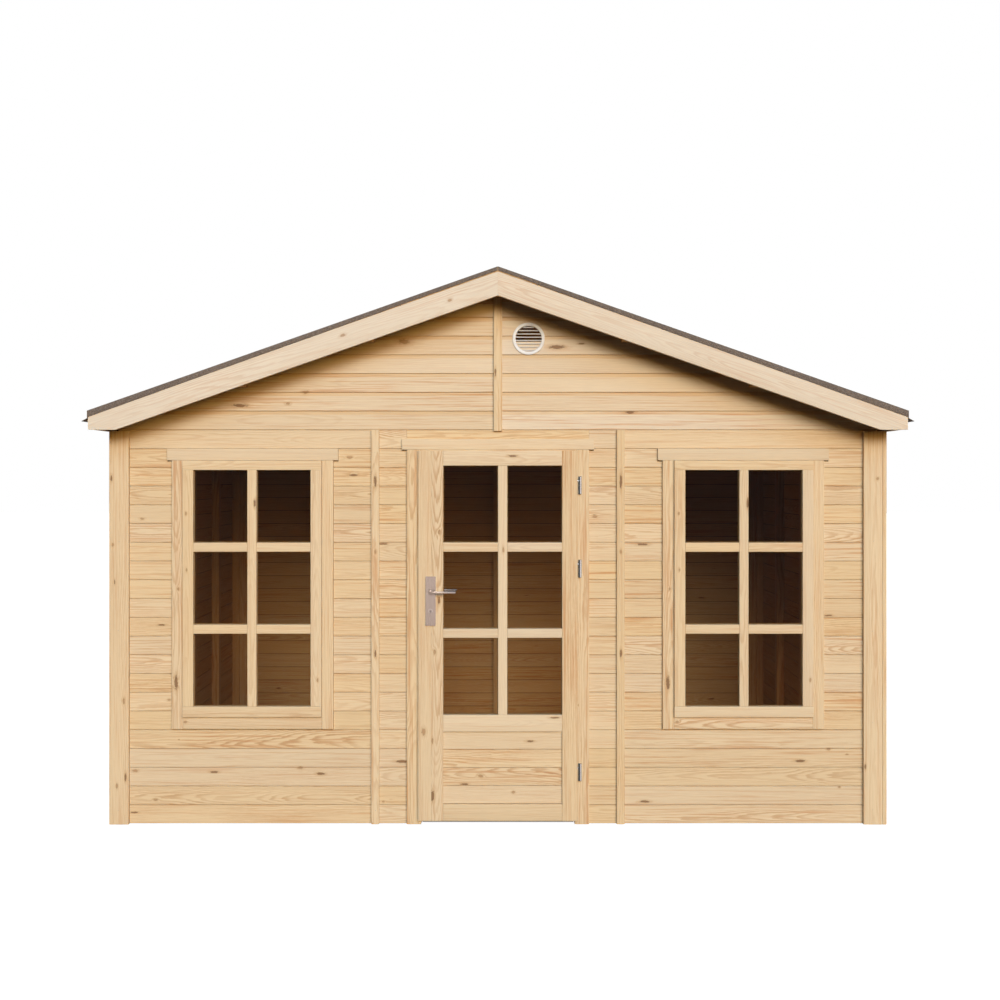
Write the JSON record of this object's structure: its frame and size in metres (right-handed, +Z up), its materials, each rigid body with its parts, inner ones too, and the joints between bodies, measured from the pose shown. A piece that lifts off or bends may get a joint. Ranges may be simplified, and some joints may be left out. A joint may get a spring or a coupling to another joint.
{
  "type": "garden house",
  "caption": "Wooden garden house with a glazed door that swings out, fixed windows, boarded walls on studs and a felted gable roof with barge boards.",
  "frame": {"origin": "centre of the footprint at ground level, under the ridge", "axes": "+X along the front towards the hinge side of the door, +Y from front to back, +Z up"},
  "size_m": [3.79, 3.281, 2.5845],
  "materials": {
    "spruce": "planed, untreated",
    "framing_timber": "planed, untreated",
    "roof_felt": "mineral felt, matt",
    "glass": "clear float glass",
    "satin_steel": "satin",
    "vent_plastic": "white, semi-matt"
  },
  "bodies": {
    "house": {"floor": "framing_timber", "front_wall_left": "spruce", "front_wall_right": "spruce", "front_wall_over_door": "spruce", "left_wall": "spruce", "right_wall": "spruce", "back_wall": "spruce", "front_gable": "spruce", "back_gable": "spruce", "front_framing_left": "framing_timber", "front_framing_right": "framing_timber", "left_framing": "framing_timber", "right_framing": "framing_timber", "back_framing": "framing_timber", "gable_framing": "framing_timber", "corner_boards_front": "spruce", "corner_boards_back": "spruce", "cover_strips_front": "spruce", "cover_strips_back": "spruce", "cover_strips_sides": "spruce", "window_frame_left": "spruce", "window_sash_left": "spruce", "window_glass_left": "glass", "window_frame_right": "spruce", "window_sash_right": "spruce", "window_glass_right": "glass", "door_frame": "spruce", "hinge_pins": "satin_steel", "purlins": "framing_timber", "roof_boards_left": "framing_timber", "roof_boards_right": "framing_timber", "barge_boards_front": "spruce", "barge_boards_back": "spruce", "eave_boards": "spruce", "roof_felt_left": "roof_felt", "roof_felt_right": "roof_felt", "gable_vent": "vent_plastic"},
    "door": {"door_leaf": "spruce", "door_panel": "spruce", "door_glass": "glass", "hinge_caps": "satin_steel", "handle_plates": "satin_steel", "lock_cylinder": "satin_steel"},
    "lever": {"door_lever": "satin_steel"}
  },
  "joints": [
    {"name": "door_swing", "type": "hinge", "parent": "house", "child": "door", "pos_m": [0.387, -1.465, 0.9], "axis": [0, 0, 1], "range_deg": [0, 160]},
    {"name": "lever_turn", "type": "hinge", "parent": "door", "child": "lever", "pos_m": [-0.314, -1.4725, 1.094], "axis": [0, 1, 0], "range_deg": [0, 40], "stiffness_Nm_per_rad": 2, "springref_deg": -20.05}
  ]
}
